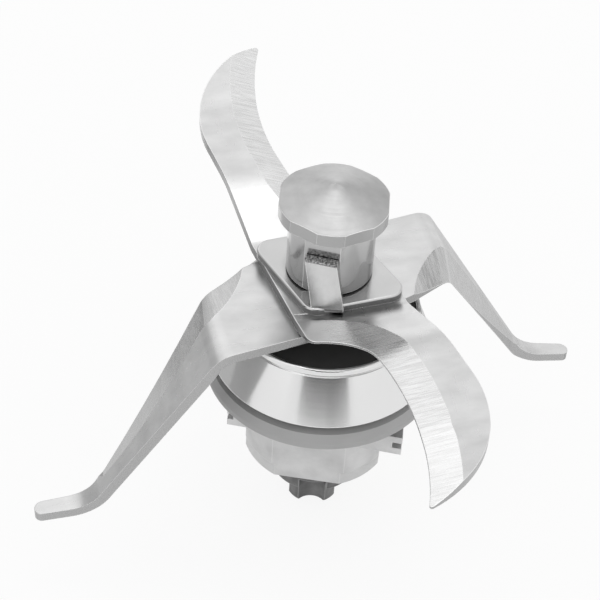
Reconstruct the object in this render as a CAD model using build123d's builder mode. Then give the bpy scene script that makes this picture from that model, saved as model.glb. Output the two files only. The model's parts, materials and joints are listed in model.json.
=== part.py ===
from build123d import *
from math import cos, radians, sin, tan
import os

# Blender blade assembly: a ball-bearing housing with a bayonet flange and a jug seal
# carries a spinning shaft. Two crossed, bent and ground blades sit on the shaft collar
# under a tab washer and a cap nut, and a four-lobed coupling takes the drive below.
# Millimetres, Z up along the shaft, origin on the axis at the foot of the coupling.

os.makedirs("parts", exist_ok=True)

# Clearances
seat_clearance = 0.02
running_clearance = 0.05
drive_clearance = 0.1
free_clearance = 0.4

# Drive coupling
star_tip_radius = 5.5
star_height = 5.0
star_foot_chamfer = 0.4
flute_count = 4
flute_radius = 3.35
flute_centre_radius = 6.65
flute_height = 11.0
coupling_hub_radius = 9.0
coupling_hub_height = 7.5
coupling_gap = 0.5
socket_wall = 1.5
coupling_angle = 51.0

# Bearings
bearing_bore_radius = 5.0
bearing_outer_radius = 11.0
bearing_width = 6.0
ball_count = 8
ball_share = 0.26
race_share = 0.18
ring_corner = 0.3
cage_share = 0.13
cage_floor = 1.2
shield_thickness = 0.3
shield_recess = 0.2

# Bearing housing
body_flats = 27.0
body_corner_radius = 15.3
body_height = 11.6
corner_step_height = 3.7
corner_step = 0.3
wing_lead_reach = 17.9
wing_lead_side = 13.4
wing_trail_reach = 16.6
wing_trail_side = 11.9
wing_root_round = 1.5
wing_thickness = 4.7
wing_groove_height = 1.5
wing_groove_depth = 1.6
wing_groove_rise = 1.6
neck_radius = 14.8
jug_wall_gap = 3.8
flange_radius = 19.8
flange_thickness = 1.8
spigot_radius = 16.0
spigot_height = 8.7
bore_land_width = 1.5
housing_lip = 1.0
housing_chamfer = 0.5

# Retaining rings and preload washer
ring_thickness = 1.0
ring_groove_depth = 0.6
ring_band = 1.8
ring_ear_radius = 1.2
ring_ear_hole = 0.6
ring_opening = 24.0
ring_ear_turn = 18.0
preload_height = 1.4
preload_thickness = 0.4
preload_band = 1.2
preload_gap = 0.2

# Seals
seal_ring_height = 3.4
seal_ring_top_radius = 22.1
seal_ring_lip_radius = 22.9
seal_ring_lip_height = 1.6
seal_ring_corner = 0.5
lip_seal_height = 4.5
lip_seal_wall = 1.1
lip_seal_flange = 1.2
garter_wire_radius = 0.45
o_ring_radius = 0.6
o_ring_rise = 4.1
o_ring_groove_width = 1.8

# Steel cone and black seal cap
cone_height = 11.1
cone_base_radius = 22.0
cone_lip_radius = 18.1
cone_lip_width = 0.9
cone_lip_height = 1.6
cone_lip_step = 0.25
cone_lip_round = 0.4
cap_edge_drop = 0.6

# Shaft
seal_land_radius = 6.5
collar_gap = 0.5
collar_radius = 9.5
collar_height = 3.2
drive_radius = 5.0
drive_flats = 7.6
stud_radius = 4.0
stud_length = 12.5
spigot_end_radius = 3.5
spigot_end_flat = 2.6
shaft_chamfer = 0.5

# Upper blade, in its own plan: u across the blade, v along it. Its folds lie along the washer's ends
blade_thickness = 2.0
upper_blade_angle = 13.8
upper_heel_across = 5.4
upper_heel_along = 18.7
upper_shoulder_across = 21.1
upper_shoulder_along = 32.5
upper_tip_across = 8.7
upper_tip_along = 63.2
upper_hollow_across = 10.3
upper_hollow_along = 46.0
upper_root_across = 5.5
upper_root_along = 25.5
upper_heel_round = 2.5
upper_tip_round = 0.4
upper_first_fold_along = 11.5
upper_second_fold_along = 26.0
upper_third_fold_along = 47.0
upper_reach = 66.0
upper_first_slope = 20.0
upper_second_slope = 3.0
upper_third_slope = 9.0
upper_fold_radius = 4.0
upper_wing_radius = 20.0

# Lower blade, in its own plan: x along the legs, y across
lower_blade_angle = 22.8
lower_heel_along = 1.0
lower_heel_across = 12.1
plain_corner_past_knee = 1.3
plain_corner_across = 16.2
plain_ankle_short = 0.3
plain_ankle_across = 13.0
grind_root_along = 15.2
grind_root_across = 6.6
grind_knee_along = 25.8
grind_knee_across = 1.2
grind_shin_along = 36.9
grind_shin_across = 4.7
grind_ankle_along = 46.5
grind_ankle_across = 9.3
toe_along = 57.4
toe_across = 10.3
toe_radius = 1.6
lower_heel_round = 3.0
lower_knee_along = 23.9
lower_ankle_along = 48.0
lower_reach = 64.0
leg_slope = 58.0
foot_slope = 7.0
knee_radius = 4.0
ankle_radius = 9.0

# Ground bevels
upper_bevel_root_width = 5.9
upper_bevel_tip_width = 4.9
upper_edge_land = 0.4
upper_bevel_stations = 16
lower_bevel_slope = 13.0
bevel_reach = 14.0
bevel_spare = 2.0
bevel_clearance = 6.0
bevel_steps = 6
bend_steps = 3

# Inner line of the lower grind on the flat blank: distances from the knee and across
grind_start_back = 9.1
grind_start_side = 7.0
grind_scoop_back = 4.9
grind_scoop_side = 1.0
grind_knee_side = 5.9
grind_middle_past = 23.0
grind_middle_side = 10.2
grind_end_past = 46.0
grind_end_side = 9.4

# Tab washer
washer_thickness = 1.5
washer_half_width = 9.6
washer_half_length = 10.5
washer_side_angle = -50.0
washer_end_angle = 26.0
washer_corner = 3.0
washer_edge_round = 0.4
tab_width = 5.9
tab_height = 8.9
tab_foot_angle = 6.0
tab_foot_radius = 10.6
tab_foot_round = 1.1
tab_top_angle = -5.6
tab_top_turn = -6.0
tab_flat_gap = 0.1

# Cap nut
nut_skirt_radius = 8.1
nut_skirt_height = 13.8
nut_head_flats = 19.8
nut_head_radius = 10.3
nut_head_side = 2.65
nut_cone_rise = 3.6
nut_angle = 4.4
nut_lock_flat = 7.4
nut_foot_chamfer = 0.5
nut_bore_spare = 1.0

# Heights, from the foot of the coupling up
hub_bottom = star_height + coupling_hub_radius - star_tip_radius
socket_bottom = flute_height + socket_wall
coupling_top = hub_bottom + coupling_hub_height
housing_bottom = coupling_top + coupling_gap
ring_bottom = housing_bottom + housing_lip
lower_bearing_bottom = ring_bottom + ring_thickness
lower_bearing_top = lower_bearing_bottom + bearing_width
land_bottom = lower_bearing_top + preload_height
wing_bottom = housing_bottom + body_height
wing_top = wing_bottom + wing_thickness
seal_ring_bottom = wing_top + jug_wall_gap
flange_bottom = seal_ring_bottom + seal_ring_height
flange_top = flange_bottom + flange_thickness
spigot_top = flange_top + spigot_height
upper_bearing_top = spigot_top - lip_seal_height
upper_bearing_bottom = upper_bearing_top - bearing_width
cone_top = flange_top + cone_height
collar_bottom = cone_top + collar_gap
lower_blade_bottom = collar_bottom + collar_height
upper_blade_bottom = lower_blade_bottom + blade_thickness
washer_bottom = upper_blade_bottom + blade_thickness
nut_bottom = washer_bottom + washer_thickness
nut_head_bottom = nut_bottom + nut_skirt_height
nut_rim = nut_head_bottom + nut_head_side
nut_apex = nut_rim + nut_cone_rise

bearing_section = bearing_outer_radius - bearing_bore_radius
ball_pitch_radius = (bearing_outer_radius + bearing_bore_radius) / 2
ball_radius = ball_share * bearing_section
race_half_gap = race_share * bearing_section
cage_half_band = cage_share * bearing_section
housing_bore_radius = bearing_outer_radius + seat_clearance
preload_outer_radius = bearing_outer_radius - preload_gap
preload_inner_radius = preload_outer_radius - preload_band
cone_bore_radius = spigot_radius + seat_clearance
cap_outer_radius = cone_lip_radius - cone_lip_width
o_ring_height = flange_top + o_ring_rise

# Corner points of the blades, each in its blade's own plan
upper_heel = Vector(upper_heel_across, upper_heel_along)
upper_shoulder = Vector(-upper_shoulder_across, upper_shoulder_along)
upper_tip = Vector(-upper_tip_across, upper_tip_along)
upper_hollow = Vector(-upper_hollow_across, upper_hollow_along)
upper_root = Vector(-upper_root_across, upper_root_along)
lower_heel = Vector(-lower_heel_along, lower_heel_across)
plain_corner = Vector(lower_knee_along + plain_corner_past_knee, plain_corner_across)
plain_ankle = Vector(lower_ankle_along - plain_ankle_short, plain_ankle_across)
grind_root = Vector(grind_root_along, -grind_root_across)
grind_knee = Vector(grind_knee_along, -grind_knee_across)
grind_shin = Vector(grind_shin_along, grind_shin_across)
grind_ankle = Vector(grind_ankle_along, grind_ankle_across)
toe = Vector(toe_along, toe_across)


def turned(angle, height):
    """A level plane at a height, turned about the shaft."""
    return Plane.XY.offset(height).rotated((0, 0, angle))


def upright(angle, height):
    """A plane through the shaft: x outwards at the given angle, y up from the height."""
    outward = (cos(radians(angle)), sin(radians(angle)), 0)
    sideways = (sin(radians(angle)), -cos(radians(angle)), 0)
    return Plane(origin=(0, 0, height), x_dir=outward, z_dir=sideways)


def compass(angle, distance=1.0):
    """The plan vector of a length at an angle."""
    return Vector(distance * cos(radians(angle)), distance * sin(radians(angle)))


def height_on(wire, along):
    """The y of a wire, which runs from left to right, at an x."""
    near, far = 0.0, 1.0
    for halving in range(30):
        share = (near + far) / 2
        if (wire @ share).X < along:
            near = share
        else:
            far = share
    return (wire @ near).Y


def from_fold_axis(point):
    """How far a point of the upper blade's plan lies from the middle line between its folds."""
    return abs(point.rotate(Axis.Z, upper_blade_angle - washer_end_angle).Y)


def flatted_profile(plane, gap):
    """The round section with one flat that keys the coupling to the shaft."""
    with BuildSketch(plane) as profile:
        Circle(spigot_end_radius + gap)
        with Locations((spigot_end_flat + gap, 0)):
            flat_size = 2 * (spigot_end_radius + gap)
            Rectangle(flat_size, flat_size, align=(Align.MIN, Align.CENTER), mode=Mode.SUBTRACT)
    return profile.sketch


def drive_profile(plane, gap):
    """The double-D section that keys the blades and the washer to the shaft."""
    with BuildSketch(plane) as profile:
        Circle(drive_radius + gap)
        Rectangle(2 * (drive_radius + gap), drive_flats + 2 * gap, mode=Mode.INTERSECT)
    return profile.sketch


# Bearing housing: square body with turned corners, bayonet wings, neck, flange and spigot
with BuildPart() as bearing_housing:
    with BuildSketch(Plane.XY.offset(housing_bottom)):
        Rectangle(body_flats, body_flats)
        Circle(body_corner_radius, mode=Mode.INTERSECT)
    extrude(amount=wing_bottom - housing_bottom)
    with BuildSketch(Plane.XY.offset(housing_bottom)):
        Circle(2 * body_corner_radius)
        Circle(body_corner_radius - corner_step, mode=Mode.SUBTRACT)
    extrude(amount=corner_step_height, mode=Mode.SUBTRACT)
    chamfer(bearing_housing.faces().sort_by(Axis.Z)[0].edges(), housing_chamfer)
    with BuildSketch(Plane.XY.offset(wing_bottom)):
        Rectangle(body_flats, body_flats)
        Circle(body_corner_radius, mode=Mode.INTERSECT)
        with BuildLine():
            Polyline(
                (wing_lead_reach, -wing_lead_side),
                (wing_trail_reach, wing_trail_side),
                (-wing_lead_reach, wing_lead_side),
                (-wing_trail_reach, -wing_trail_side),
                close=True,
            )
        make_face()
    extrude(amount=wing_thickness)
    for wing_root in (-body_flats / 2, body_flats / 2):
        cross_edges = bearing_housing.edges().filter_by(Axis.Y)
        fillet(cross_edges.sort_by_distance((wing_root, 0, wing_bottom))[0], wing_root_round)
    with BuildSketch(Plane.XY.offset(wing_bottom + wing_groove_rise)):
        Rectangle(3 * wing_lead_reach, 3 * wing_lead_side)
        with BuildLine():
            Polyline(
                (wing_lead_reach - wing_groove_depth, -2 * wing_lead_side),
                (wing_trail_reach - wing_groove_depth, 2 * wing_lead_side),
                (wing_groove_depth - wing_lead_reach, 2 * wing_lead_side),
                (wing_groove_depth - wing_trail_reach, -2 * wing_lead_side),
                close=True,
            )
        make_face(mode=Mode.SUBTRACT)
    extrude(amount=wing_groove_height, mode=Mode.SUBTRACT)
    with BuildSketch(Plane.XY.offset(wing_top)):
        Circle(neck_radius)
    extrude(amount=flange_bottom - wing_top)
    with BuildSketch(Plane.XY.offset(flange_bottom)):
        Circle(flange_radius)
    extrude(amount=flange_thickness)
    with BuildSketch(Plane.XY.offset(flange_top)):
        Circle(spigot_radius)
    extrude(amount=spigot_height)
    with BuildSketch(Plane.XY.offset(housing_bottom)):
        Circle(housing_bore_radius)
    extrude(amount=land_bottom - housing_bottom, mode=Mode.SUBTRACT)
    with BuildSketch(Plane.XY.offset(ring_bottom)):
        Circle(housing_bore_radius + ring_groove_depth)
    extrude(amount=ring_thickness, mode=Mode.SUBTRACT)
    with BuildSketch(Plane.XY.offset(land_bottom)):
        Circle(bearing_outer_radius - bore_land_width)
    extrude(amount=upper_bearing_bottom - land_bottom, mode=Mode.SUBTRACT)
    with BuildSketch(Plane.XY.offset(upper_bearing_bottom)):
        Circle(housing_bore_radius)
    extrude(amount=spigot_top - upper_bearing_bottom, mode=Mode.SUBTRACT)
    with BuildSketch(Plane.XY.offset(o_ring_height - o_ring_groove_width / 2)):
        Circle(2 * spigot_radius)
        Circle(spigot_radius - 2 * o_ring_radius, mode=Mode.SUBTRACT)
    extrude(amount=o_ring_groove_width, mode=Mode.SUBTRACT)
bearing_housing.part.label = "bearing_housing"
export_step(bearing_housing.part, "parts/bearing_housing.step")

# Steel cone: a polished turned ring pressed over the spigot, with a rounded lip
with BuildPart() as steel_cone:
    with BuildSketch(Plane.XZ) as cone_section:
        with BuildLine():
            Polyline(
                (cone_bore_radius, flange_top),
                (cone_base_radius, flange_top),
                (cone_lip_radius + cone_lip_step, cone_top - cone_lip_height),
                (cone_lip_radius, cone_top - cone_lip_height),
                (cone_lip_radius, cone_top),
                (cone_lip_radius - cone_lip_width, cone_top),
                (cone_lip_radius - cone_lip_width, spigot_top),
                (cone_bore_radius, spigot_top),
                close=True,
            )
        make_face()
        fillet(cone_section.vertices().group_by(Axis.Y)[-1], cone_lip_round)
    revolve(axis=Axis.Z)
steel_cone.part.label = "steel_cone"
export_step(steel_cone.part, "parts/steel_cone.step")

# Seal cap: black moulded disc that closes the cone over the shaft seal
with BuildPart() as seal_cap:
    with BuildSketch(Plane.XZ):
        with BuildLine():
            Polyline(
                (seal_land_radius + free_clearance, spigot_top),
                (cap_outer_radius - seat_clearance, spigot_top),
                (cap_outer_radius - seat_clearance, cone_top - cap_edge_drop),
                (seal_land_radius + free_clearance, cone_top),
                close=True,
            )
        make_face()
    revolve(axis=Axis.Z)
seal_cap.part.label = "seal_cap"
export_step(seal_cap.part, "parts/seal_cap.step")

# Shaft lip seal: rubber ring with a flange and one lip leaning on the shaft
lip_inner = seal_land_radius + running_clearance
lip_back = lip_inner + lip_seal_wall
lip_foot = upper_bearing_top + lip_seal_wall
with BuildPart() as lip_seal:
    with BuildSketch(Plane.XZ):
        with BuildLine():
            Polyline(
                (bearing_outer_radius, upper_bearing_top),
                (bearing_outer_radius, spigot_top),
                (lip_inner + free_clearance, spigot_top),
                (lip_inner + free_clearance, spigot_top - lip_seal_flange),
                (lip_inner, lip_foot + lip_seal_wall),
                (lip_inner + free_clearance, lip_foot),
                (lip_back, lip_foot),
                (lip_back, spigot_top - lip_seal_flange),
                (bearing_outer_radius - lip_seal_wall, spigot_top - lip_seal_flange),
                (bearing_outer_radius - lip_seal_wall, upper_bearing_top),
                close=True,
            )
        make_face()
    revolve(axis=Axis.Z)
lip_seal.part.label = "lip_seal"
export_step(lip_seal.part, "parts/lip_seal.step")

# Garter spring: closed coil round the back of the seal lip
with BuildPart(Plane.XY.offset(lip_foot + lip_seal_wall)) as garter_spring:
    Torus(lip_back + seat_clearance + garter_wire_radius, garter_wire_radius)
garter_spring.part.label = "garter_spring"
export_step(garter_spring.part, "parts/garter_spring.step")

# Jug seal: grey rubber ring under the flange, with a swollen lower lip
with BuildPart() as seal_ring:
    with BuildSketch(Plane.XZ) as seal_section:
        with BuildLine():
            Polyline(
                (neck_radius + running_clearance, seal_ring_bottom),
                (seal_ring_lip_radius, seal_ring_bottom),
                (seal_ring_lip_radius, seal_ring_bottom + seal_ring_lip_height),
                (seal_ring_top_radius, flange_bottom),
                (neck_radius + running_clearance, flange_bottom),
                close=True,
            )
        make_face()
        fillet(seal_section.vertices().group_by(Axis.X)[-1], seal_ring_corner)
    revolve(axis=Axis.Z)
seal_ring.part.label = "seal_ring"
export_step(seal_ring.part, "parts/seal_ring.step")

# O-ring between the spigot and the steel cone
with BuildPart(Plane.XY.offset(o_ring_height)) as cone_o_ring:
    Torus(spigot_radius - o_ring_radius + seat_clearance / 2, o_ring_radius)
cone_o_ring.part.label = "cone_o_ring"
export_step(cone_o_ring.part, "parts/cone_o_ring.step")

# Ball bearings: two rings with ground races, a crown cage, balls and two shields each
inner_race_radius = ball_pitch_radius - race_half_gap
outer_race_radius = ball_pitch_radius + race_half_gap
race_radius = ball_radius + running_clearance
cage_rise = bearing_width / 2 - shield_recess - shield_thickness - free_clearance
for end, bearing_bottom in (("lower", lower_bearing_bottom), ("upper", upper_bearing_bottom)):
    bearing_middle = bearing_bottom + bearing_width / 2
    ring_walls = (
        ("inner", bearing_bore_radius + seat_clearance, inner_race_radius),
        ("outer", outer_race_radius, bearing_outer_radius),
    )
    for side, near_radius, far_radius in ring_walls:
        with BuildPart() as bearing_ring:
            with BuildSketch(Plane.XZ) as ring_section:
                with Locations(((near_radius + far_radius) / 2, bearing_middle)):
                    Rectangle(far_radius - near_radius, bearing_width)
                fillet(ring_section.vertices(), ring_corner)
                with Locations((ball_pitch_radius, bearing_middle)):
                    Circle(race_radius, mode=Mode.SUBTRACT)
            revolve(axis=Axis.Z)
        bearing_ring.part.label = f"{end}_bearing_{side}_ring"
        export_step(bearing_ring.part, f"parts/{end}_bearing_{side}_ring.step")

    with BuildPart(Plane.XY.offset(bearing_middle)) as bearing_balls:
        with PolarLocations(ball_pitch_radius, ball_count):
            Sphere(ball_radius)
    bearing_balls.part.label = f"{end}_bearing_balls"
    export_step(bearing_balls.part, f"parts/{end}_bearing_balls.step")

    with BuildPart(Plane.XY.offset(bearing_middle)) as bearing_cage:
        with BuildSketch(Plane.XY.offset(bearing_middle - cage_floor)):
            Circle(ball_pitch_radius + cage_half_band)
            Circle(ball_pitch_radius - cage_half_band, mode=Mode.SUBTRACT)
        extrude(amount=cage_floor + cage_rise)
        with PolarLocations(ball_pitch_radius, ball_count):
            Sphere(race_radius, mode=Mode.SUBTRACT)
    bearing_cage.part.label = f"{end}_bearing_cage"
    export_step(bearing_cage.part, f"parts/{end}_bearing_cage.step")

    shield_levels = (
        ("bottom", bearing_bottom + shield_recess),
        ("top", bearing_bottom + bearing_width - shield_recess - shield_thickness),
    )
    for face, shield_bottom in shield_levels:
        with BuildPart() as bearing_shield:
            with BuildSketch(Plane.XY.offset(shield_bottom)):
                Circle(outer_race_radius - seat_clearance)
                Circle(inner_race_radius + free_clearance, mode=Mode.SUBTRACT)
            extrude(amount=shield_thickness)
        bearing_shield.part.label = f"{end}_bearing_{face}_shield"
        export_step(bearing_shield.part, f"parts/{end}_bearing_{face}_shield.step")

# Inner retaining ring: holds the lower bearing in the housing
ring_outer_radius = housing_bore_radius + ring_groove_depth - seat_clearance
ring_inner_radius = ring_outer_radius - ring_band
ring_ear_places = ring_inner_radius - ring_ear_radius / 2
with BuildPart() as housing_circlip:
    with BuildSketch(turned(-90, ring_bottom)):
        Circle(ring_outer_radius)
        Circle(ring_inner_radius, mode=Mode.SUBTRACT)
        with BuildLine():
            Polyline(
                (0, 0),
                compass(ring_opening / 2, 2 * ring_outer_radius),
                compass(-ring_opening / 2, 2 * ring_outer_radius),
                close=True,
            )
        make_face(mode=Mode.SUBTRACT)
        for ear_angle in (ring_ear_turn, -ring_ear_turn):
            with Locations(compass(ear_angle, ring_ear_places)):
                Circle(ring_ear_radius)
                Circle(ring_ear_hole, mode=Mode.SUBTRACT)
    extrude(amount=ring_thickness)
housing_circlip.part.label = "housing_circlip"
export_step(housing_circlip.part, "parts/housing_circlip.step")

# Shaft retaining ring: plain open ring under the lower bearing
shaft_groove_radius = bearing_bore_radius - ring_groove_depth
with BuildPart() as shaft_circlip:
    with BuildSketch(turned(90, ring_bottom)):
        Circle(shaft_groove_radius + ring_band)
        Circle(shaft_groove_radius + seat_clearance, mode=Mode.SUBTRACT)
        with BuildLine():
            Polyline(
                (0, 0),
                compass(ring_opening, 2 * bearing_outer_radius),
                compass(-ring_opening, 2 * bearing_outer_radius),
                close=True,
            )
        make_face(mode=Mode.SUBTRACT)
    extrude(amount=ring_thickness)
shaft_circlip.part.label = "shaft_circlip"
export_step(shaft_circlip.part, "parts/shaft_circlip.step")

# Preload washer: ring of spring strip bent in one curve between the bearing and the land
with BuildPart() as preload_washer:
    with BuildSketch(Plane.XZ):
        with BuildLine() as washer_bow:
            bow_end = lower_bearing_top + preload_thickness
            ThreePointArc(
                (-preload_outer_radius, bow_end - preload_thickness / 2),
                (0, land_bottom - preload_thickness / 2),
                (preload_outer_radius, bow_end - preload_thickness / 2),
            )
        trace(line_width=preload_thickness)
    extrude(amount=preload_outer_radius, both=True)
    with BuildSketch(Plane.XY.offset(lower_bearing_top)):
        Circle(preload_outer_radius)
        Circle(preload_inner_radius, mode=Mode.SUBTRACT)
    extrude(amount=preload_height, mode=Mode.INTERSECT)
preload_washer.part.label = "preload_washer"
export_step(preload_washer.part, "parts/preload_washer.step")

# Bearing spacer: sleeve between the two inner rings
with BuildPart() as bearing_spacer:
    with BuildSketch(Plane.XY.offset(lower_bearing_top)):
        Circle(inner_race_radius)
        Circle(bearing_bore_radius + seat_clearance, mode=Mode.SUBTRACT)
    extrude(amount=upper_bearing_bottom - lower_bearing_top)
bearing_spacer.part.label = "bearing_spacer"
export_step(bearing_spacer.part, "parts/bearing_spacer.step")

# Shaft: stud, double-D drive, collar, seal land, bearing journal and flatted end
with BuildPart() as shaft:
    add(flatted_profile(Plane.XY.offset(socket_bottom), 0))
    extrude(amount=coupling_top - socket_bottom)
    with BuildSketch(Plane.XY.offset(coupling_top)):
        Circle(bearing_bore_radius)
    extrude(amount=upper_bearing_top - coupling_top)
    with BuildSketch(Plane.XY.offset(ring_bottom)):
        Circle(2 * bearing_bore_radius)
        Circle(shaft_groove_radius, mode=Mode.SUBTRACT)
    extrude(amount=ring_thickness, mode=Mode.SUBTRACT)
    with BuildSketch(Plane.XY.offset(upper_bearing_top)):
        Circle(seal_land_radius)
    extrude(amount=collar_bottom - upper_bearing_top)
    with BuildSketch(Plane.XY.offset(collar_bottom)):
        Circle(collar_radius)
    extrude(amount=collar_height)
    add(drive_profile(turned(upper_blade_angle, lower_blade_bottom), 0))
    extrude(amount=nut_bottom - lower_blade_bottom)
    with BuildSketch(Plane.XY.offset(nut_bottom)):
        Circle(stud_radius)
    extrude(amount=stud_length)
    chamfer(shaft.faces().sort_by(Axis.Z)[-1].edges(), shaft_chamfer)
shaft.part.label = "shaft"
export_step(shaft.part, "parts/shaft.step")

# Drive coupling: turned end flaring into a hub, with round flutes milled into it and a socket
with BuildPart() as drive_coupling:
    with BuildSketch(Plane.XZ):
        with BuildLine():
            flare_foot = (star_tip_radius, star_height)
            flare_edge = (coupling_hub_radius, hub_bottom)
            Polyline(
                flare_edge,
                (coupling_hub_radius, coupling_top),
                (0, coupling_top),
                (0, 0),
                (star_tip_radius - star_foot_chamfer, 0),
                (star_tip_radius, star_foot_chamfer),
                flare_foot,
            )
            TangentArc(flare_foot, flare_edge, tangent=(0, 1))
        make_face()
    revolve(axis=Axis.Z)
    flute_turn = coupling_angle + 180 / flute_count
    with BuildSketch(turned(flute_turn, 0)):
        with PolarLocations(flute_centre_radius, flute_count):
            Circle(flute_radius)
    extrude(amount=flute_height, mode=Mode.SUBTRACT)
    add(flatted_profile(Plane.XY.offset(socket_bottom), seat_clearance))
    extrude(amount=coupling_top - socket_bottom, mode=Mode.SUBTRACT)
drive_coupling.part.label = "drive_coupling"
export_step(drive_coupling.part, "parts/drive_coupling.step")

# Upper blade: S-shaped strip, both wings folded up, ground along the hollow edges
upper_middle = upper_blade_bottom + blade_thickness / 2
upper_plan = turned(upper_blade_angle, upper_middle)
upper_folds = [(upper_first_fold_along, 0)]
for fold, slope in (
    (upper_second_fold_along, upper_first_slope),
    (upper_third_fold_along, upper_second_slope),
    (upper_reach, upper_third_slope),
):
    before, height = upper_folds[-1]
    upper_folds.append((fold, height + (fold - before) * tan(radians(slope))))
upper_radii = [upper_wing_radius, upper_wing_radius, upper_fold_radius]

with BuildLine() as wing_spine:
    FilletPolyline((0, 0), *upper_folds, radius=upper_radii[::-1])
wing_wire = wing_spine.wires()[0]

with BuildLine() as upper_edge:
    hollow = ThreePointArc(upper_tip, upper_hollow, upper_root)
    TangentArc(upper_root, upper_heel, tangent=hollow % 1)
edge_wire = upper_edge.wires()[0]

# The grinder's path: a wedge-shaped section swept along the hollow edge
with BuildPart() as upper_grind:
    for station in range(-1, upper_bevel_stations + 2):
        share = station / upper_bevel_stations
        held_share = min(1.0, max(0.0, share))
        bevel_width = upper_bevel_tip_width + (upper_bevel_root_width - upper_bevel_tip_width) * held_share
        along_edge = edge_wire % held_share
        past_end = (share - held_share) * edge_wire.length
        edge_point = edge_wire @ held_share + along_edge * past_end
        inward = Vector(along_edge.Y, -along_edge.X)
        inner_point = edge_point + inward * bevel_width
        low = height_on(wing_wire, from_fold_axis(edge_point)) - blade_thickness / 2 + upper_edge_land
        high = height_on(wing_wire, from_fold_axis(inner_point)) + blade_thickness / 2
        slope = (high - low) / bevel_width
        origin = upper_plan.from_local_coords(edge_point)
        across = upper_plan.from_local_coords(edge_point + inward) - origin
        with BuildSketch(Plane(origin=origin, x_dir=across, z_dir=across.cross(Vector(0, 0, 1)))):
            with BuildLine():
                Polyline(
                    (-bevel_spare, low - bevel_spare * slope),
                    (bevel_width + bevel_spare, high + bevel_spare * slope),
                    (bevel_width + bevel_spare, high + bevel_clearance),
                    (-bevel_spare, high + bevel_clearance),
                    close=True,
                )
            make_face()
    loft()

with BuildPart() as upper_blade:
    with BuildSketch(upright(washer_end_angle + 90, upper_middle)):
        with BuildLine():
            FilletPolyline(
                *[(-along, rise) for along, rise in reversed(upper_folds)],
                *upper_folds,
                radius=upper_radii + upper_radii[::-1],
            )
        trace(line_width=blade_thickness)
    extrude(amount=upper_reach, both=True)
    with BuildSketch(turned(upper_blade_angle, upper_blade_bottom - blade_thickness)) as upper_outline:
        with BuildLine():
            for side in (1, -1):
                Line(upper_heel * -side, upper_shoulder * side)
                flank = upper_shoulder + upper_heel
                TangentArc(upper_shoulder * side, upper_tip * side, tangent=flank * side)
                edge_arc = ThreePointArc(upper_tip * side, upper_hollow * side, upper_root * side)
                TangentArc(upper_root * side, upper_heel * side, tangent=edge_arc % 1)
        make_face()
        for side in (1, -1):
            fillet(upper_outline.vertices().sort_by_distance(upper_heel * side)[0], upper_heel_round)
            fillet(upper_outline.vertices().sort_by_distance(upper_tip * side)[0], upper_tip_round)
    extrude(amount=upper_reach, mode=Mode.INTERSECT)
    add(upper_grind.part, mode=Mode.SUBTRACT)
    add(upper_grind.part.rotate(Axis.Z, 180), mode=Mode.SUBTRACT)
    add(drive_profile(turned(upper_blade_angle, upper_blade_bottom), drive_clearance))
    extrude(amount=blade_thickness, mode=Mode.SUBTRACT)
upper_blade.part.label = "upper_blade"
export_step(upper_blade.part, "parts/upper_blade.step")

# Lower blade: both legs folded down at the knee and out again at the foot
lower_middle = lower_blade_bottom + blade_thickness / 2
leg_drop = (lower_ankle_along - lower_knee_along) * tan(radians(leg_slope))
foot_drop = (lower_reach - lower_ankle_along) * tan(radians(foot_slope))
leg_line = [(lower_knee_along, 0), (lower_ankle_along, -leg_drop), (lower_reach, -leg_drop - foot_drop)]
leg_radii = [ankle_radius, knee_radius, knee_radius, ankle_radius]

with BuildLine(upright(lower_blade_angle, lower_middle)) as leg_spine:
    FilletPolyline((0, 0), *leg_line, radius=[knee_radius, ankle_radius])

with BuildLine() as grind_path:
    ThreePointArc(
        (-grind_start_back, -grind_start_side),
        (-grind_scoop_back, grind_scoop_side),
        (0, grind_knee_side),
    )
    ThreePointArc(
        (0, grind_knee_side),
        (grind_middle_past, grind_middle_side),
        (grind_end_past, grind_end_side),
    )
grind_wire = grind_path.wires()[0]

bend_half = knee_radius * radians(leg_slope) / 2
scoop_step = (grind_start_back - bend_half) / bevel_steps
leg_step = (grind_end_past - bend_half) / bevel_steps
grind_stations = [scoop_step * step - grind_start_back for step in range(bevel_steps)]
grind_stations += [bend_half * step / bend_steps for step in range(-bend_steps, bend_steps)]
grind_stations += [bend_half + leg_step * step for step in range(bevel_steps + 1)]

# The grinder's path on one leg: a slanting wedge moved along the blank and round the knee
with BuildPart() as lower_grind:
    across = Vector(-sin(radians(lower_blade_angle)), cos(radians(lower_blade_angle)), 0)
    spine_wire = leg_spine.wires()[0]
    fall = tan(radians(lower_bevel_slope))
    half = blade_thickness / 2
    for past_knee in grind_stations:
        inner = height_on(grind_wire, past_knee)
        share = (lower_knee_along + past_knee) / spine_wire.length
        along_leg = spine_wire % share
        with BuildSketch(Plane(origin=spine_wire @ share, x_dir=across, z_dir=along_leg)):
            with BuildLine():
                Polyline(
                    (inner + bevel_spare, half + bevel_spare * fall),
                    (inner - bevel_reach, half - bevel_reach * fall),
                    (inner - bevel_reach, half + bevel_clearance),
                    (inner + bevel_spare, half + bevel_clearance),
                    close=True,
                )
            make_face()
    loft(ruled=True)

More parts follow.
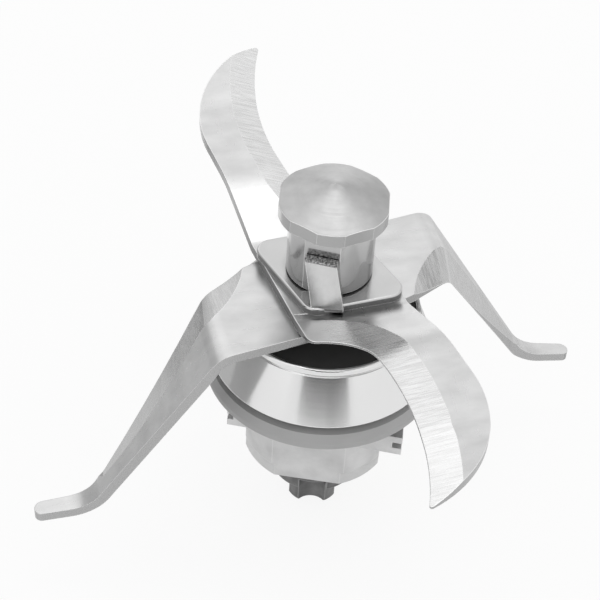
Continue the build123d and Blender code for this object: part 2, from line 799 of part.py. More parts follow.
with BuildPart() as lower_blade:
    with BuildSketch(upright(lower_blade_angle, lower_middle)):
        with BuildLine():
            FilletPolyline(
                *[(-along, drop) for along, drop in reversed(leg_line)],
                *leg_line,
                radius=leg_radii,
            )
        trace(line_width=blade_thickness)
    extrude(amount=lower_reach, both=True)
    with BuildSketch(turned(lower_blade_angle, lower_middle - lower_reach)) as lower_outline:
        with BuildLine():
            for side in (1, -1):
                toe_out = toe + Vector(0, toe_radius)
                toe_in = toe - Vector(0, toe_radius)
                Polyline(
                    lower_heel * side,
                    plain_corner * side,
                    plain_ankle * side,
                    toe_out * side,
                )
                toe_end = toe + Vector(toe_radius, 0)
                ThreePointArc(toe_out * side, toe_end * side, toe_in * side)
                Line(toe_in * side, grind_ankle * side)
                ThreePointArc(grind_ankle * side, grind_shin * side, grind_knee * side)
                Polyline(grind_knee * side, grind_root * side, lower_heel * -side)
        make_face()
        for side in (1, -1):
            fillet(lower_outline.vertices().sort_by_distance(lower_heel * side)[0], lower_heel_round)
            fillet(lower_outline.vertices().sort_by_distance(plain_corner * side)[0], lower_heel_round)
            fillet(lower_outline.vertices().sort_by_distance(grind_root * side)[0], lower_heel_round)
            fillet(lower_outline.vertices().sort_by_distance(plain_ankle * side)[0], ankle_radius)
            fillet(lower_outline.vertices().sort_by_distance(grind_ankle * side)[0], ankle_radius)
    extrude(amount=2 * lower_reach, mode=Mode.INTERSECT)
    add(lower_grind.part, mode=Mode.SUBTRACT)
    add(lower_grind.part.rotate(Axis.Z, 180), mode=Mode.SUBTRACT)
    add(drive_profile(turned(upper_blade_angle, lower_blade_bottom), drive_clearance))
    extrude(amount=blade_thickness, mode=Mode.SUBTRACT)
lower_blade.part.label = "lower_blade"
export_step(lower_blade.part, "parts/lower_blade.step")

# Tab washer: rounded skew plate with one tab bent up against the nut's flat
skew = sin(radians(washer_end_angle - washer_side_angle))
along_side = compass(washer_side_angle, washer_half_length / skew)
along_end = compass(washer_end_angle, washer_half_width / skew)
tab_top_radius = nut_lock_flat + tab_flat_gap + washer_thickness / 2
with BuildPart() as tab_washer:
    with BuildSketch(Plane.XY.offset(washer_bottom)) as washer_outline:
        with BuildLine():
            Polyline(
                along_end + along_side,
                along_end - along_side,
                along_side * -1 - along_end,
                along_side - along_end,
                close=True,
            )
        make_face()
        fillet(washer_outline.vertices(), washer_corner)
    extrude(amount=washer_thickness)
    fillet(tab_washer.faces().sort_by(Axis.Z)[-1].edges(), washer_edge_round)
    with BuildSketch(turned(tab_foot_angle, washer_bottom)):
        with Locations((0, -tab_foot_radius - washer_thickness / 2)):
            Rectangle(tab_width, tab_foot_radius, align=(Align.CENTER, Align.MIN))
    extrude(amount=washer_thickness)
    tab_heel = compass(tab_foot_angle - 90, tab_foot_radius + washer_thickness / 2)
    tab_heel_edges = tab_washer.edges().sort_by_distance(tab_heel + Vector(0, 0, washer_bottom))
    fillet(tab_heel_edges[0], tab_foot_round)
    with BuildSketch(turned(tab_foot_angle, nut_bottom)):
        with Locations((0, -tab_foot_radius)):
            Rectangle(tab_width, washer_thickness)
    with BuildSketch(turned(tab_top_turn, nut_bottom + tab_height)):
        with Locations(Vector(0, -tab_top_radius).rotate(Axis.Z, tab_top_angle - tab_top_turn)):
            Rectangle(tab_width, washer_thickness)
    loft()
    add(drive_profile(turned(upper_blade_angle, washer_bottom), drive_clearance))
    extrude(amount=washer_thickness, mode=Mode.SUBTRACT)
tab_washer.part.label = "tab_washer"
export_step(tab_washer.part, "parts/tab_washer.step")

# Cap nut: coned hexagon head turned round at the corners, on a plain skirt with one flat
with BuildPart() as cap_nut:
    with BuildSketch(Plane.XZ):
        with BuildLine():
            Polyline(
                (0, nut_bottom),
                (nut_skirt_radius - nut_foot_chamfer, nut_bottom),
                (nut_skirt_radius, nut_bottom + nut_foot_chamfer),
                (nut_skirt_radius, nut_head_bottom),
                (nut_head_radius, nut_head_bottom),
                (nut_head_radius, nut_rim),
                (0, nut_apex),
                close=True,
            )
        make_face()
    revolve(axis=Axis.Z)
    with BuildSketch(turned(nut_angle + 30, nut_bottom)):
        RegularPolygon(nut_head_flats / 2, 6, major_radius=False)
    extrude(amount=nut_apex - nut_bottom, mode=Mode.INTERSECT)
    with BuildSketch(turned(tab_top_turn, nut_bottom)):
        with Locations((0, -nut_lock_flat)):
            Rectangle(2 * nut_skirt_radius, nut_skirt_radius, align=(Align.CENTER, Align.MAX))
    extrude(amount=nut_skirt_height, mode=Mode.SUBTRACT)
    with BuildSketch(Plane.XY.offset(nut_bottom)):
        Circle(stud_radius + drive_clearance)
    extrude(amount=stud_length + nut_bore_spare, mode=Mode.SUBTRACT)
cap_nut.part.label = "cap_nut"
export_step(cap_nut.part, "parts/cap_nut.step")
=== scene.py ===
# %% [markdown]
# # A blender blade assembly, dressed for the studio
# Two crossed steel blades spin on a shaft that runs in a sealed bearing housing. The solids
# come ready made from the CAD frame, so this lesson is about finishes, light and a camera.

# %% Load the frame
import json
from math import radians

import bpy
from mathutils import Matrix, Vector


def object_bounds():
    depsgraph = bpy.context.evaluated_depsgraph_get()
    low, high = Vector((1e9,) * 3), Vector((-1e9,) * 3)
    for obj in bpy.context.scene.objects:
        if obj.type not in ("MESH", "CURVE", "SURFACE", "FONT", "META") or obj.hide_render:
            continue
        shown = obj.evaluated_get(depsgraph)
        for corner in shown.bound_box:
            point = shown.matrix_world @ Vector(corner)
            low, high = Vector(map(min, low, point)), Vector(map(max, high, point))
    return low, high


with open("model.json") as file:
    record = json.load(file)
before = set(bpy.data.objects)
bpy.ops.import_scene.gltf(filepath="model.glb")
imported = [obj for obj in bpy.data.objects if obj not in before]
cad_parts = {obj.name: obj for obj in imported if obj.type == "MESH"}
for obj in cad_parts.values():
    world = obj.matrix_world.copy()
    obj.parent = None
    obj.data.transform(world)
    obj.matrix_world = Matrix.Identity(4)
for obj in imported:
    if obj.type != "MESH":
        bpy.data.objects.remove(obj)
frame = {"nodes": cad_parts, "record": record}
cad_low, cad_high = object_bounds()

PER_METRE = 1000.0
nodes = frame["nodes"]
cad_box_mm = [round(side * PER_METRE, 1) for side in cad_high - cad_low]
print("loaded", len(nodes), "nodes; box", cad_box_mm, "mm")

# %% [markdown]
# ## Colours and nodes
# A colour picked on a screen is an sRGB hex value, but a shader works with linear light, so one
# function turns the first into the second. Shader nodes could be placed by hand in the editor. A
# script is easier to read and to repeat: one function adds one node, with its switches and its
# links, and each material below is then a short recipe.

# %% Colours and nodes
def linear(hex_colour):
    """A linear RGBA colour from an sRGB hex value such as "c8c9ca"."""
    channels = [int(hex_colour[i:i + 2], 16) / 255 for i in (0, 2, 4)]
    decoded = [c / 12.92 if c <= 0.04045 else ((c + 0.055) / 1.055) ** 2.4 for c in channels]
    return (*decoded, 1.0)


def add(tree, kind, settings=None, inputs=None):
    """Adds a shader node.

    An input is a number, a hex colour, a socket, or a node, which gives its first output.
    """
    node = tree.nodes.new("ShaderNode" + kind)
    for name, value in (settings or {}).items():
        setattr(node, name, value)
    for name, value in (inputs or {}).items():
        if isinstance(value, bpy.types.Node):
            value = next(socket for socket in value.outputs if socket.enabled)
        if isinstance(value, bpy.types.NodeSocket):
            tree.links.new(value, node.inputs[name])
        else:
            node.inputs[name].default_value = linear(value) if isinstance(value, str) else value
    return node


print("mid grey 808080 is", round(linear("808080")[0], 3), "in linear light")

# %% [markdown]
# ## Where a material starts and ends
# Every material begins as an empty tree and ends in one output, so two short functions do both.
# The first also keeps each material under its name, for handing them out later.

# %% Start and end of a material
materials = {}


def new_material(name):
    """The empty node tree of a new material."""
    material = bpy.data.materials.new(name)
    material.use_nodes = True
    material.node_tree.nodes.clear()
    materials[name] = material
    return material.node_tree


def finish_with(tree, shader):
    """Sends a shader to the material's surface."""
    add(tree, "OutputMaterial", None, {"Surface": shader})


print("ready to make materials")

# %% [markdown]
# ## Grain
# Strokes, dents, scuffs and clouds are uneven in the same way: they keep to one size, but never
# repeat. An image could hold them, but a noise has no seams and runs through the whole solid. It
# is laid out in millimetres. Object coordinates are metres, and a mapping of the texture kind
# divides them by the size of the pattern.

# %% Grain
MM = 0.001
# Nearly all values of a noise lie in this range, so stretching it uses the full contrast.
MIDDLE = {"From Min": 0.3, "From Max": 0.7}


def grain(tree, size_mm, turn=0.0, detail=2.0):
    """Noise whose streaks have the given size in millimetres along x, y and z."""
    place = add(tree, "TexCoord")
    laid_out = add(tree, "Mapping", {"vector_type": "TEXTURE"}, {
        "Vector": place.outputs["Object"],
        "Rotation": (0, 0, radians(turn)),
        "Scale": tuple(size * MM for size in size_mm),
    })
    return add(tree, "TexNoise", None, {"Vector": laid_out, "Scale": 1.0, "Detail": detail})


def along_axes(tree, coordinate):
    """The x, y and z of the object-space place ("Object") or normal ("Normal")."""
    place = add(tree, "TexCoord")
    return add(tree, "SeparateXYZ", None, {"Vector": place.outputs[coordinate]}).outputs


print("grain is laid out in millimetres of", MM, "m")

# %% [markdown]
# ## Rounded edges with a painted highlight, and painted shade in corners
# A real edge is never perfectly sharp: handling and tumbling round it by a tenth or two of a
# millimetre. The solids have sharp edges, and rounding each of them would cost many faces. The
# Bevel node rounds only the normal, and where its normal leaves the true one there is an edge,
# which gives the mask for a bright line painted along it as a highlight.
# The corners get painted shade. The Ambient Occlusion node finds them by itself: there, little
# of the open sky is seen, and the colour is darkened.

# %% Rounded edges, painted highlights and painted shade in corners
EDGE_MM = 0.2
# How far the rounded normal still agrees with the true one.
AT_EDGE = {"From Min": 0.998, "From Max": 0.985}
# Painted shade in corners: how far it reaches out of a corner, and its grey.
SHADE_REACH_MM = 3.0
CORNER_SHADE_GREY = "3c3c3c"
# The share of open sky that a corner still sees.
SHUT_IN = {"From Min": 0.65, "From Max": 0.05}


def rounded_edges_and_highlight(tree, edge_mm=EDGE_MM):
    """The normal with rounded edges, and a mask of those edges for a painted highlight."""
    rounded = add(tree, "Bevel", {"samples": 8}, {"Radius": edge_mm * MM})
    true_normal = add(tree, "NewGeometry").outputs["Normal"]
    agreement = add(tree, "VectorMath", {"operation": "DOT_PRODUCT"}, {
        0: rounded, 1: true_normal,
    })
    return rounded, add(tree, "MapRange", None, {"Value": agreement, **AT_EDGE})


def corner_shade(tree, reach_mm=SHADE_REACH_MM):
    """A mask of the corners, where the colour is darkened as painted shade."""
    sky = add(tree, "AmbientOcclusion", {"samples": 8}, {"Distance": reach_mm * MM})
    return add(tree, "MapRange", None, {"Value": sky.outputs["AO"], **SHUT_IN})


print("edges are rounded by", EDGE_MM, "mm, grime reaches", SHADE_REACH_MM, "mm out of a corner")

# %% [markdown]
# ## The faces of a blade
# The blades are cut from 2 mm stainless sheet, folded, and ground along each leading edge. The
# flat faces and the ground faces differ in finish, and the sheared sides and the underside are
# painted darker as shade. Each could have a material slot of its own, but one node holds them all
# and its mesh stays as it is. So the material tells them apart by the object-space normal, which
# stays true when the blades spin: a folded face never leans along its fold line, a ground face
# does, and a sheared side stands upright.

# %% Blade faces
# The normal's part along the fold line, and its part along Z for the other two.
GROUND_LEAN = {"From Min": 0.08, "From Max": 0.14}
UPRIGHT = {"From Min": 0.30, "From Max": 0.15}
DOWNWARD = {"From Min": -0.2, "From Max": -0.4}


def blade_faces(tree, fold_angle, fold_axis):
    """Masks of a blade's ground faces, its sheared sides and its underside."""
    place = add(tree, "TexCoord")
    own_normal = add(tree, "VectorRotate", {"rotation_type": "Z_AXIS"}, {
        "Vector": place.outputs["Normal"], "Angle": radians(-fold_angle),
    })
    parts = add(tree, "SeparateXYZ", None, {"Vector": own_normal}).outputs
    lean = add(tree, "Math", {"operation": "ABSOLUTE"}, {0: parts[fold_axis]})
    upward = add(tree, "Math", {"operation": "ABSOLUTE"}, {0: parts["Z"]})
    ground = add(tree, "MapRange", None, {"Value": lean, **GROUND_LEAN})
    sheared = add(tree, "MapRange", None, {"Value": upward, **UPRIGHT})
    underside = add(tree, "MapRange", None, {"Value": parts["Z"], **DOWNWARD})
    return ground, sheared, underside


print("a face is ground where its normal leans by more than", GROUND_LEAN["From Min"])

# %% [markdown]
# ## Ground blade steel
# The sheet was tumbled to a soft satin, which handling has scuffed. The ground faces show strokes
# across the edge and catch the light on their own. The sheared sides are painted darker as shade,
# most of all near the hub, and so is the underside. The greys could be painted face by face. Here
# they are coats: each one covers those before it where its mask is 1.
# Real strokes are one or two tenths of a millimetre wide, and are drawn about twice as coarse to
# show.

# %% Blade greys
COLOUR = {"data_type": "RGBA"}
# The painted shade on the sheared sides fades out from here to twice as far from the axis.
HUB_MM = 14.0
OUT_FROM_HUB = {"From Min": HUB_MM * MM, "From Max": 2 * HUB_MM * MM}
STROKE_CONTRAST = {"To Min": 0.1, "To Max": 0.9}


def from_axis(tree, parts):
    """The distance from the shaft's axis, from the x and y of a place."""
    level = add(tree, "CombineXYZ", None, {"X": parts["X"], "Y": parts["Y"]})
    return add(tree, "VectorMath", {"operation": "LENGTH"}, {0: level})


def blade_greys(tree, stroke, scuffs, ground_greys, shaded_side_greys):
    """The greys of the satin sheet, the ground faces, and the painted shade of the sheared sides.
    """
    scuffed = add(tree, "MapRange", None, {"Value": scuffs, **MIDDLE})
    satin = add(tree, "Mix", COLOUR, {"Factor": scuffed, "A": "d4d4d4", "B": "e6e6e6"})
    streaked = add(tree, "MapRange", None, {"Value": stroke, **MIDDLE, **STROKE_CONTRAST})
    bevel = add(tree, "Mix", COLOUR, {
        "Factor": streaked, "A": ground_greys[0], "B": ground_greys[1],
    })
    radius = from_axis(tree, along_axes(tree, "Object"))
    outward = add(tree, "MapRange", None, {"Value": radius, **OUT_FROM_HUB})
    # The sheared sides are painted darker as shade, darkest near the hub.
    side = add(tree, "Mix", COLOUR, {
        "Factor": outward, "A": shaded_side_greys[0], "B": shaded_side_greys[1],
    })
    return satin, bevel, side


print("sheared sides are dull out to", HUB_MM, "mm from the axis")

# %% Blade steel
MULTIPLY = {"operation": "MULTIPLY"}
SCUFF_MM = (7.0, 4.0, 4.0)
STROKE_DEPTH_MM = 0.04
SATIN_ROUGHNESS = {"To Min": 0.27, "To Max": 0.31}
STROKE_ROUGHNESS = {"To Min": 0.23, "To Max": 0.31}


def blade_steel(
    name, fold_angle, fold_axis, strokes, satin_mm, ground_greys, shaded_side_greys, edge_highlight_grey,
):
    """Satin stainless steel with ground strokes on the faces that lean along the fold lines."""
    tree = new_material(name)
    ground, sheared, underside = blade_faces(tree, fold_angle, fold_axis)
    stroke = grain(tree, strokes["size_mm"], strokes["turn"], detail=4.0)
    brushed = grain(tree, satin_mm, strokes["turn"], detail=3.0)
    scuffs = grain(tree, SCUFF_MM, fold_angle, detail=5.0)
    rounded, edge_highlight = rounded_edges_and_highlight(tree)
    colour, bevel, side = blade_greys(tree, stroke, scuffs, ground_greys, shaded_side_greys)
    # Coats: painted shade on the underside, the ground grey, painted shade on the sheared sides, a
    # painted highlight on the edges and painted shade in the corners.
    for mask, coat in (
        (underside, "b8b8b8"), (ground, bevel), (sheared, side), (edge_highlight, edge_highlight_grey),
        (corner_shade(tree), CORNER_SHADE_GREY),
    ):
        colour = add(tree, "Mix", COLOUR, {"Factor": mask, "A": colour, "B": coat})
    on_satin = add(tree, "MapRange", None, {"Value": brushed, **MIDDLE, **SATIN_ROUGHNESS})
    on_bevel = add(tree, "MapRange", None, {"Value": stroke, **MIDDLE, **STROKE_ROUGHNESS})
    bump = add(tree, "Bump", None, {
        "Strength": strokes["depth"], "Distance": STROKE_DEPTH_MM * MM,
        "Height": add(tree, "Math", MULTIPLY, {0: stroke, 1: ground}), "Normal": rounded,
    })
    finish_with(tree, add(tree, "BsdfPrincipled", None, {
        "Base Color": colour, "Metallic": 1.0, "Normal": bump,
        "Roughness": add(tree, "Mix", None, {"Factor": ground, "A": on_satin, "B": on_bevel}),
    }))


print("the recipe's strokes are", STROKE_DEPTH_MM, "mm deep at most")

# %% Upper and lower blade
blade_steel(
    "upper_blade_steel", fold_angle=26.0, fold_axis="X",
    strokes={"size_mm": (4.0, 0.3, 4.0), "turn": 13.8, "depth": 0.30}, satin_mm=(0.6, 8.0, 0.6),
    ground_greys=("d6d6d6", "f6f6f6"), shaded_side_greys=("5c5c5c", "b0b0b0"), edge_highlight_grey="fafafa",
)
blade_steel(
    "lower_blade_steel", fold_angle=22.8, fold_axis="Y",
    strokes={"size_mm": (0.4, 6.0, 0.8), "turn": 22.8, "depth": 0.06}, satin_mm=(8.0, 0.6, 0.6),
    ground_greys=("cacaca", "d8d8d8"), shaded_side_greys=("a0a0a0", "b8b8b8"), edge_highlight_grey="dcdcdc",
)
print("made", sorted(materials))

# %% [markdown]
# ## Pressed washer steel
# The tab washer is a stainless pressing, smooth on its faces; its cut sides are painted darker as
# shade. The end of its tab was broken off the strip, so its last half millimetre is torn. A tear
# could be modelled, but it is hardly bigger than a grain of sand: a coarse noise of dark and
# bright grains, let in by the height above the coupling's foot, stands for it.

# %% Washer faces
WASHER_TOP_MM = 62.1
TAB_END_MM = 71.0
TEAR_MM = 0.5
IN_TEAR = {"From Min": (TAB_END_MM - TEAR_MM) * MM, "From Max": (TAB_END_MM - TEAR_MM / 2) * MM}
IN_PLATE = {"From Min": (WASHER_TOP_MM + 0.2) * MM, "From Max": WASHER_TOP_MM * MM}
CUT_UPRIGHT = {"From Min": 0.3, "From Max": 0.1}


def washer_faces(tree):
    """Masks of the torn end of the tab and of the plate's cut sides."""
    height = along_axes(tree, "Object")["Z"]
    upward = add(tree, "Math", {"operation": "ABSOLUTE"}, {0: along_axes(tree, "Normal")["Z"]})
    torn = add(tree, "MapRange", None, {"Value": height, **IN_TEAR})
    plate = add(tree, "MapRange", None, {"Value": height, **IN_PLATE})
    upright = add(tree, "MapRange", None, {"Value": upward, **CUT_UPRIGHT})
    return torn, add(tree, "Math", MULTIPLY, {0: plate, 1: upright})


print("the tab is torn over its last", TEAR_MM, "mm")

# %% Washer steel
TEAR_GRAIN_MM = (0.35, 0.35, 0.35)
TEAR_DEPTH_MM = 0.4
TORN_ROUGHNESS = 0.45
ROLLED_MM = (0.8, 6.0, 0.8)
ROLLED_TURN = 20.0
ROLLED_ROUGHNESS = {"To Min": 0.19, "To Max": 0.23}
STRIP_CLOUD_MM = (5, 5, 5)
# The near white that is painted along the edges as a highlight.
EDGE_HIGHLIGHT_GREY = "fafafa"


def washer_steel():
    """Pressed stainless strip, smooth on its faces and torn at the end of the tab."""
    tree = new_material("washer_steel")
    torn, cut_side = washer_faces(tree)
    rolled = grain(tree, ROLLED_MM, ROLLED_TURN, detail=1.0)
    tear = grain(tree, TEAR_GRAIN_MM, detail=3.0)
    rounded, edge_highlight = rounded_edges_and_highlight(tree)
    speckled = add(tree, "MapRange", None, {"Value": tear, **MIDDLE})
    # The cut sides are painted dark as shade.
    cut = add(tree, "Mix", COLOUR, {"Factor": tear, "A": "505050", "B": "8c8c8c"})
    broken = add(tree, "Mix", COLOUR, {"Factor": speckled, "A": "282828", "B": "fcfcfc"})
    cloud = grain(tree, STRIP_CLOUD_MM)
    colour = add(tree, "Mix", COLOUR, {"Factor": cloud, "A": "cecece", "B": "dadada"})
    # Coats: painted shade on the cut sides, a painted highlight on the edges, the torn end, and
    # painted shade in the corners.
    for mask, coat in (
        (cut_side, cut), (edge_highlight, EDGE_HIGHLIGHT_GREY), (torn, broken), (corner_shade(tree), CORNER_SHADE_GREY),
    ):
        colour = add(tree, "Mix", COLOUR, {"Factor": mask, "A": colour, "B": coat})
    smooth = add(tree, "MapRange", None, {"Value": rolled, **MIDDLE, **ROLLED_ROUGHNESS})
    bump = add(tree, "Bump", None, {
        "Strength": 1.0, "Distance": TEAR_DEPTH_MM * MM,
        "Height": add(tree, "Math", MULTIPLY, {0: tear, 1: torn}), "Normal": rounded,
    })
    finish_with(tree, add(tree, "BsdfPrincipled", None, {
        "Base Color": colour, "Metallic": 1.0, "Normal": bump,
        "Roughness": add(tree, "Mix", None, {"Factor": torn, "A": smooth, "B": TORN_ROUGHNESS}),
    }))


washer_steel()
print("made washer_steel")

# %% [markdown]
# ## Turned nut steel
# The cap nut is turned on a lathe, and its coned top keeps the fine rings of the tool. Rings
# stretch every reflection outwards from the middle, which gives the fan of light on the cone.
# Real rings are a few hundredths of a millimetre apart, too fine to draw one by one, so an
# anisotropic shader with a tangent round the Z axis stands for them, and coarser rings of 0.3 mm
# add what the eye can still see. The skirt is smoother, and is painted darker towards its foot as
# shade.

# %% Rings and greys of the nut
RING_MM = 0.3
NUT_FOOT_MM = 62.1
NUT_HEAD_MM = 75.9
IN_HEAD = {"From Min": (NUT_HEAD_MM - 0.1) * MM, "From Max": NUT_HEAD_MM * MM}
UP_THE_SKIRT = {"From Min": NUT_FOOT_MM * MM, "From Max": NUT_HEAD_MM * MM}


def rings(tree):
    """Noise that changes only with the distance from the shaft's axis and the height."""
    parts = along_axes(tree, "Object")
    profile = add(tree, "CombineXYZ", None, {"X": from_axis(tree, parts), "Y": parts["Z"]})
    return add(tree, "TexNoise", None, {
        "Vector": profile, "Scale": PER_METRE / RING_MM, "Detail": 3.0,
    })


def nut_greys(tree, cone, smudge):
    """The greys of the skirt, of the head's sides and of the cone, each in its place."""
    height = along_axes(tree, "Object")["Z"]
    head = add(tree, "MapRange", None, {"Value": height, **IN_HEAD})
    # The skirt is painted darker towards its foot, as shade.
    skirt_shade_fade = add(tree, "MapRange", None, {"Value": height, **UP_THE_SKIRT})
    skirt = add(tree, "Mix", COLOUR, {"Factor": skirt_shade_fade, "A": "8e8e8e", "B": "c8c8c8"})
    smudged = add(tree, "Mix", COLOUR, {"Factor": smudge, "A": "a8a8a8", "B": "c8c8c8"})
    top = add(tree, "Mix", COLOUR, {"Factor": cone, "A": "b2b2b2", "B": smudged})
    return add(tree, "Mix", COLOUR, {"Factor": head, "A": skirt, "B": top})


print("rings are", RING_MM, "mm apart; the nut's head starts at", NUT_HEAD_MM, "mm")

# %% Nut steel
SMUDGE_MM = (2.5, 2.5, 2.5)
RING_DEPTH_MM = 0.02
FACING_UP = {"From Min": 0.4, "From Max": 0.6}
AROUND_AXIS = {"direction_type": "RADIAL", "axis": "Z"}
SKIRT_ROUGHNESS = {"To Min": 0.15, "To Max": 0.21}
CONE_ROUGHNESS = {"To Min": 0.29, "To Max": 0.39}


def nut_steel():
    """Turned steel with a ringed cone on top and a smooth skirt below."""
    tree = new_material("nut_steel")
    ring = rings(tree)
    smudge = grain(tree, SMUDGE_MM, detail=4.0)
    cone = add(tree, "MapRange", None, {"Value": along_axes(tree, "Normal")["Z"], **FACING_UP})
    rounded, edge_highlight = rounded_edges_and_highlight(tree)
    colour = nut_greys(tree, cone, smudge)
    # Coats: a painted highlight on the edges and painted shade in the corners.
    for mask, coat in ((edge_highlight, "f4f4f4"), (corner_shade(tree), CORNER_SHADE_GREY)):
        colour = add(tree, "Mix", COLOUR, {"Factor": mask, "A": colour, "B": coat})
    on_skirt = add(tree, "MapRange", None, {"Value": smudge, **MIDDLE, **SKIRT_ROUGHNESS})
    on_cone = add(tree, "MapRange", None, {"Value": ring, **MIDDLE, **CONE_ROUGHNESS})
    bump = add(tree, "Bump", None, {
        "Strength": 0.05, "Distance": RING_DEPTH_MM * MM, "Height": ring, "Normal": rounded,
    })
    finish_with(tree, add(tree, "BsdfPrincipled", None, {
        "Base Color": colour, "Metallic": 1.0, "Normal": bump,
        "Roughness": add(tree, "Mix", None, {"Factor": cone, "A": on_skirt, "B": on_cone}),
        "Anisotropic": 0.75, "Tangent": add(tree, "Tangent", AROUND_AXIS),
    }))


nut_steel()
print("made nut_steel")

# %% [markdown]
# ## Turned and polished steel
# The steel cone under the blades is turned and then polished until it is nearly a mirror, so only
# its roughness still changes from ring to ring. The shaft keeps a coarser finish, and the bearing
# rings are ground after hardening. They could be three materials, but one recipe with three sets
# of numbers makes them all.

# %% Turned steel
def turned_steel(name, dark, light, roughness, spread, anisotropy):
    """Metal with the lathe's rings round the shaft's axis."""
    tree = new_material(name)
    ring = rings(tree)
    rounded, edge_highlight = rounded_edges_and_highlight(tree)
    ringed = add(tree, "Mix", COLOUR, {"Factor": ring, "A": dark, "B": light})
    bump = add(tree, "Bump", None, {
        "Strength": spread, "Distance": RING_DEPTH_MM * MM, "Height": ring, "Normal": rounded,
    })
    finish_with(tree, add(tree, "BsdfPrincipled", None, {
        # The edges get a near white painted on as a highlight.
        "Base Color": add(tree, "Mix", COLOUR, {"Factor": edge_highlight, "A": ringed, "B": EDGE_HIGHLIGHT_GREY}),
        "Metallic": 1.0, "Normal": bump,
        "Roughness": add(tree, "MapRange", None, {
            "Value": ring, **MIDDLE, "To Min": roughness - spread, "To Max": roughness + spread,
        }),
        "Anisotropic": anisotropy, "Tangent": add(tree, "Tangent", AROUND_AXIS),
    }))


turned_steel("machined_steel", "a6a6a6", "c0c0c0", roughness=0.32, spread=0.05, anisotropy=0.4)
turned_steel("polished_steel", "ececec", "f2f2f2", roughness=0.16, spread=0.01, anisotropy=0.0)
turned_steel("bearing_steel", "c4c4c4", "dadada", roughness=0.12, spread=0.03, anisotropy=0.2)
print("made machined_steel, polished_steel and bearing_steel")

# %% [markdown]
# ## Blasted metal
# The housing is cast aluminium, machined and then blasted with fine beads. Thousands of tiny
# dents scatter the light, so the metal looks evenly grey with hardly any mirror image, and its
# corners get a painted highlight. The dents are far too many to model, so a fine noise in the bump
# and a high roughness stand for them, drawn at 0.25 mm and more to show. The coupling, the
# springs and the shields take the same recipe in darker greys.

# %% Blasted metal
BLASTED_EDGE_MM = 1.5 * EDGE_MM
DENT_DEPTH_MM = 0.04
BLASTED_SPREAD = 0.05
CAST_CLOUD_MM = (5, 5, 5)


def blasted_metal(name, dark, light, corner, roughness, dent_mm, dent_strength):
    """Matt metal with an even skin of small dents and a painted highlight on its corners."""
    tree = new_material(name)
    dents = grain(tree, (dent_mm,) * 3)
    cloud = grain(tree, CAST_CLOUD_MM, detail=5.0)
    rounded, edge_highlight = rounded_edges_and_highlight(tree, BLASTED_EDGE_MM)
    clouded = add(tree, "MapRange", None, {"Value": cloud, **MIDDLE})
    skin = add(tree, "Mix", COLOUR, {"Factor": clouded, "A": dark, "B": light})
    bump = add(tree, "Bump", None, {
        "Strength": dent_strength, "Distance": DENT_DEPTH_MM * MM, "Height": dents,
        "Normal": rounded,
    })
    finish_with(tree, add(tree, "BsdfPrincipled", None, {
        # The corner grey is painted along the edges as a highlight.
        "Base Color": add(tree, "Mix", COLOUR, {"Factor": edge_highlight, "A": skin, "B": corner}),
        "Metallic": 1.0, "Normal": bump,
        "Roughness": add(tree, "MapRange", None, {
            "Value": dents, **MIDDLE,
            "To Min": roughness - BLASTED_SPREAD, "To Max": roughness + BLASTED_SPREAD,
        }),
    }))


# Each row: name, dark and light grey, the corner grey painted as a highlight, roughness, dent size
# and dent strength.
for name, dark, light, corner, roughness, dent_mm, dent_strength in (
    ("housing_aluminium", "cacaca", "e0e0e0", "e4e4e4", 0.42, 0.25, 0.15),
    ("coupling_metal", "6c6c6c", "989898", "a4a4a4", 0.34, 0.4, 0.20),
    ("spring_steel", "4c4d50", "66676a", "8a8b8d", 0.35, 0.3, 0.10),
    ("shield_steel", "a9aaac", "bebfc1", "dcdddf", 0.30, 0.3, 0.08),
):
    blasted_metal(name, dark, light, corner, roughness, dent_mm, dent_strength)
    print("made", name, "with dents of", dent_mm, "mm")

# %% [markdown]
# ## Rubber and nylon
# The jug seal is grey silicone, moulded and slightly dusty. Every moulded part gets painted shade
# in its corners, such as the slot where the seal meets the cone. The seals inside are black
# nitrile rubber with a soft shine, and the bearing cages are moulded nylon. None is a metal: a
# small part of the light mirrors off the skin and the rest is the colour itself. One colour and
# one roughness would look like new plastic, so a faint noise makes both a little uneven.

# %% Rubber and nylon
# Painted shade in the corners of moulded parts, such as the seal's slot under the cone: its reach
# and its grey.
SLOT_SHADE_REACH_MM = 2.0
SLOT_SHADE_GREY = "303030"
SKIN_DEPTH_MM = 0.02
DUST_MM = (7, 7, 3)


def moulded(name, dark, light, roughness, ior, skin_mm, spread):
    """Moulded rubber or plastic with a faint uneven skin and painted shade in its corners."""
    tree = new_material(name)
    skin = grain(tree, (skin_mm,) * 3, detail=3.0)
    dust = add(tree, "Mix", COLOUR, {"Factor": grain(tree, DUST_MM), "A": dark, "B": light})
    slot_shade = corner_shade(tree, SLOT_SHADE_REACH_MM)
    bump = add(tree, "Bump", None, {
        "Strength": spread, "Distance": SKIN_DEPTH_MM * MM, "Height": skin,
    })
    finish_with(tree, add(tree, "BsdfPrincipled", None, {
        "Base Color": add(tree, "Mix", COLOUR, {"Factor": slot_shade, "A": dust, "B": SLOT_SHADE_GREY}),
        "Metallic": 0.0, "IOR": ior, "Normal": bump,
        "Roughness": add(tree, "MapRange", None, {
            "Value": skin, **MIDDLE, "To Min": roughness - spread, "To Max": roughness + spread,
        }),
    }))


moulded("grey_silicone", "a2a2a2", "b0b0b0", roughness=0.55, ior=1.41, skin_mm=0.5, spread=0.05)
moulded("black_rubber", "343434", "404040", roughness=0.42, ior=1.52, skin_mm=1.5, spread=0.02)
moulded("cage_nylon", "b9a986", "cbbc9b", roughness=0.45, ior=1.53, skin_mm=0.5, spread=0.05)
print("made grey_silicone, black_rubber and cage_nylon")

